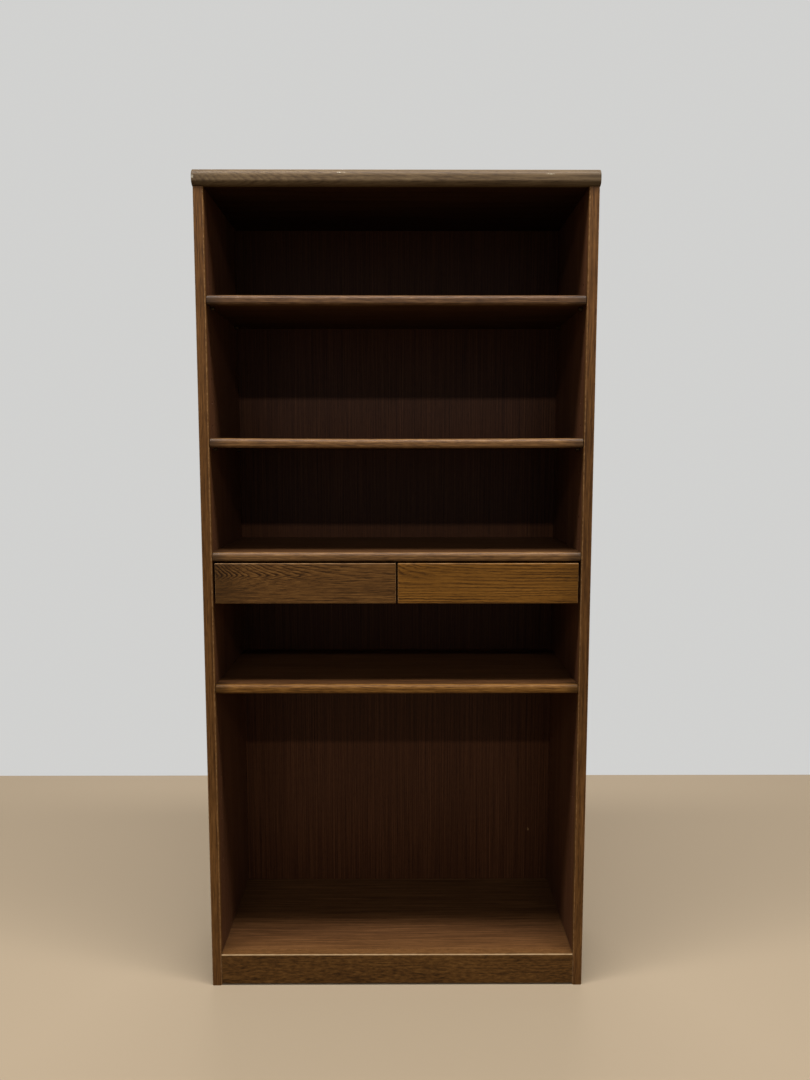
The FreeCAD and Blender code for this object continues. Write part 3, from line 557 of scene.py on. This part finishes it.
# Shelf pins: four under each loose shelf, turned from brass that has gone dull and brown.
# They are pushed into blind holes in the sides, the heads filed flat where a shelf rests.
BROWN_BRASS, WORN_BRASS = (0.030, 0.019, 0.009), (0.080, 0.053, 0.026)
brass = Finish("pin_brass", Metallic=1.0)
dulling = brass.noise(brass.place(), (220.0, 220.0, 220.0), 3.0)
brass.give(Base_Color=brass.ramp(dulling, [(0.25, BROWN_BRASS), (0.75, WORN_BRASS)]))
brass.give(Roughness=brass.blend(dulling, -0.3, 0.75))
dress([f"{name}_shelf_pins" for name in SAG], brass.material, ease=0.0001)

# Drawer fronts: solid flat-sawn oak, arrises rounded, a cove behind the lower edge for the fingers.
# The left board is darker with tight flames at its left end, the right one golden with open flames.
FRONT_ROUND, FINGER_COVE, FRONT_END = 0.0025, 0.008, 0.0006
front_rounds = (FRONT_ROUND, -FINGER_COVE, SHARP, FRONT_ROUND)
LEFT_OAK = ((0.020, 0.0082, 0.0020), (0.083, 0.0362, 0.0090), (0.147, 0.069, 0.0185))
RIGHT_OAK = ((0.034, 0.0130, 0.0018), (0.120, 0.0490, 0.0070), (0.195, 0.086, 0.0145))
left_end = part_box("left_drawer_front")[0].x
left_flame = {"start": left_end, "fade": 0.12, "lead": -0.042, "above": 0.38, "below": 0.60, "faint": 0.35}
right_flame = {"start": 0.0, "fade": 0.07, "lead": 0.013, "above": 0.5, "below": 0.5, "faint": 0.7}
front_oaks = {
    "left": Wood("left_front_oak", LEFT_OAK, LENGTHWISE, pith=(0, 0.224, -0.953), ring=0.0028,
                 figure=(1.3, 1.3, 0.3), streak=(20, 380), bend=0.006, flame=left_flame),
    "right": Wood("right_front_oak", RIGHT_OAK, LENGTHWISE, pith=(0, 0.212, -0.984), ring=0.0032,
                  figure=(1.0, 0.8, 0.3), streak=(12, 420), bend=0.008, flame=right_flame),
}
# Both fronts darken towards their outer ends next to the sides, the left one more: painted shade.
front_oaks["left"].dim(low=0.29, high=0.395, amount=0.40)
front_oaks["right"].dim(low=0.33, high=0.40, amount=0.22)
for hand, wood in front_oaks.items():
    wood.wear(RUBBED_OAK)
    node = f"{hand}_drawer_front"
    front = strip(f"{hand}_front", *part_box(node), "X", front_rounds, FRONT_END, FRONT_ROUND)
    fit(front, node, f"{hand}_drawer", wood.material)

# Drawer boxes: sides and backs of pale hardwood, with thin plywood bottoms in grooves.
# The sides are grooved along their outer faces for the runners.
BIRCH = ((0.30, 0.185, 0.095), (0.50, 0.345, 0.20), (0.62, 0.46, 0.29))
box_wood = Wood("box_wood", BIRCH, DEPTHWISE, pith=(0, 0.25, 0.1), ring=0.004,
                figure=(0.15, 0.4, 0.3), streak=(9, 150), rough=0.5)
back_wood = Wood("box_back_wood", BIRCH, LENGTHWISE, pith=(0, 0.25, 0.1), ring=0.004,
                 figure=(0.15, 0.4, 0.3), streak=(9, 150), rough=0.5)
bottom_ply = Wood("bottom_plywood", BIRCH, LENGTHWISE, pith=(0, 0.05, 0.6), ring=0.012,
                  figure=(0.2, 0.3, 0.3), streak=(5, 90), bend=0.05, rough=0.5)
for hand in ("left", "right"):
    dress([f"{hand}_drawer_left_side", f"{hand}_drawer_right_side"], box_wood.material)
    dress([f"{hand}_drawer_back"], back_wood.material)
    dress([f"{hand}_drawer_bottom"], bottom_ply.material, ease=0.0003)

# Floor: a plain pale sheet, matt, under the bookcase and all round it.
# It ends about a metre behind, where the pale surround begins.
FLOOR_REACH, FLOOR_BEHIND = 6.0, 1.07
FLOOR_COLOR = (0.25, 0.19, 0.122, 1.0)
across = np.array([-1, 1, 1, -1]) * FLOOR_REACH
forward = np.array([-FLOOR_REACH, -FLOOR_REACH, FLOOR_BEHIND, FLOOR_BEHIND])
floor_mesh = bpy.data.meshes.new("floor")
floor_mesh.from_pydata(np.stack([across, forward, np.zeros(4)], 1).tolist(), [], [(0, 1, 2, 3)])
floor_mesh.materials.append(Finish("floor", Roughness=0.9, Base_Color=FLOOR_COLOR).material)
floor = bpy.data.objects.new("floor", floor_mesh)
bpy.context.scene.collection.objects.link(floor)

# Surround: an even soft light from all sides.
# The camera, reflections and clear materials see a plain pale backdrop in its place.
SOFT_COLOR, SOFT_STRENGTH = (0.95, 0.97, 1.0, 1.0), 0.215
BACKDROP_COLOR = (0.64, 0.64, 0.63, 1.0)
world = bpy.data.worlds.new("surround")
world.use_nodes = True
sky = world.node_tree
soft = sky.nodes["Background"]
soft.inputs["Color"].default_value = SOFT_COLOR
soft.inputs["Strength"].default_value = SOFT_STRENGTH
backdrop = sky.nodes.new("ShaderNodeBackground")
backdrop.inputs["Color"].default_value = BACKDROP_COLOR
rays = sky.nodes.new("ShaderNodeLightPath")
seen = rays.outputs["Is Camera Ray"]
for kind in ("Is Glossy Ray", "Is Transmission Ray"):
    either = sky.nodes.new("ShaderNodeMath")
    either.operation = "MAXIMUM"
    sky.links.new(seen, either.inputs[0])
    sky.links.new(rays.outputs[kind], either.inputs[1])
    seen = either.outputs[0]
shown = sky.nodes.new("ShaderNodeMixShader")
for socket, output in zip(shown.inputs, (seen, soft.outputs[0], backdrop.outputs[0])):
    sky.links.new(output, socket)
sky.links.new(shown.outputs[0], sky.nodes["World Output"].inputs["Surface"])
bpy.context.scene.world = world

# Lamps: a long narrow one overhead just in front of the bookcase, and a nearer one below it that widens
# the light on the sides. A third, far out in front, reaches into the bays, and a fourth lights the rear.


def lamp(name, place, tilt, length, width, watts):
    """A rectangular lamp, long across X, pointing down and tilted by degrees towards the back."""
    light = bpy.data.lights.new(name, "AREA")
    light.shape = "RECTANGLE"
    light.size, light.size_y = length, width
    light.energy = watts
    holder = bpy.data.objects.new(name, light)
    holder.location = place
    holder.rotation_euler = (math.radians(tilt), 0, 0)
    bpy.context.scene.collection.objects.link(holder)


lamp("overhead_lamp", place=(0, -1.0, 5.0), tilt=0, length=5.0, width=0.42, watts=275)
lamp("near_lamp", place=(0, -0.69, 3.0), tilt=0, length=5.0, width=0.25, watts=82)
lamp("front_lamp", place=(0, -5.1, 4.11), tilt=60, length=4.5, width=0.14, watts=114)
lamp("rear_lamp", place=(0, 4.5, 3.0), tilt=-65, length=4.5, width=1.5, watts=170)

# Camera: as the picture was taken, level with the middle bays, a little to the right, looking down.
# Its focal length is in pixels of the picture, whose longer side is its height.
IMAGE_HEIGHT_PX, FOCAL_PX, SENSOR_MM = 1080, 814.8, 36.0
CAMERA_PLACE = (0.0117, -1.9275, 1.2087)
CAMERA_PITCH, CAMERA_YAW = 5.858, 0.201
lens = bpy.data.cameras.new("camera")
lens.sensor_width = SENSOR_MM
lens.lens = FOCAL_PX * SENSOR_MM / IMAGE_HEIGHT_PX
camera = bpy.data.objects.new("camera", lens)
camera.location = CAMERA_PLACE
camera.rotation_euler = (math.radians(90 - CAMERA_PITCH), 0, -math.radians(CAMERA_YAW))
bpy.context.scene.collection.objects.link(camera)
bpy.context.scene.camera = camera
bpy.context.scene.view_settings.view_transform = "Standard"
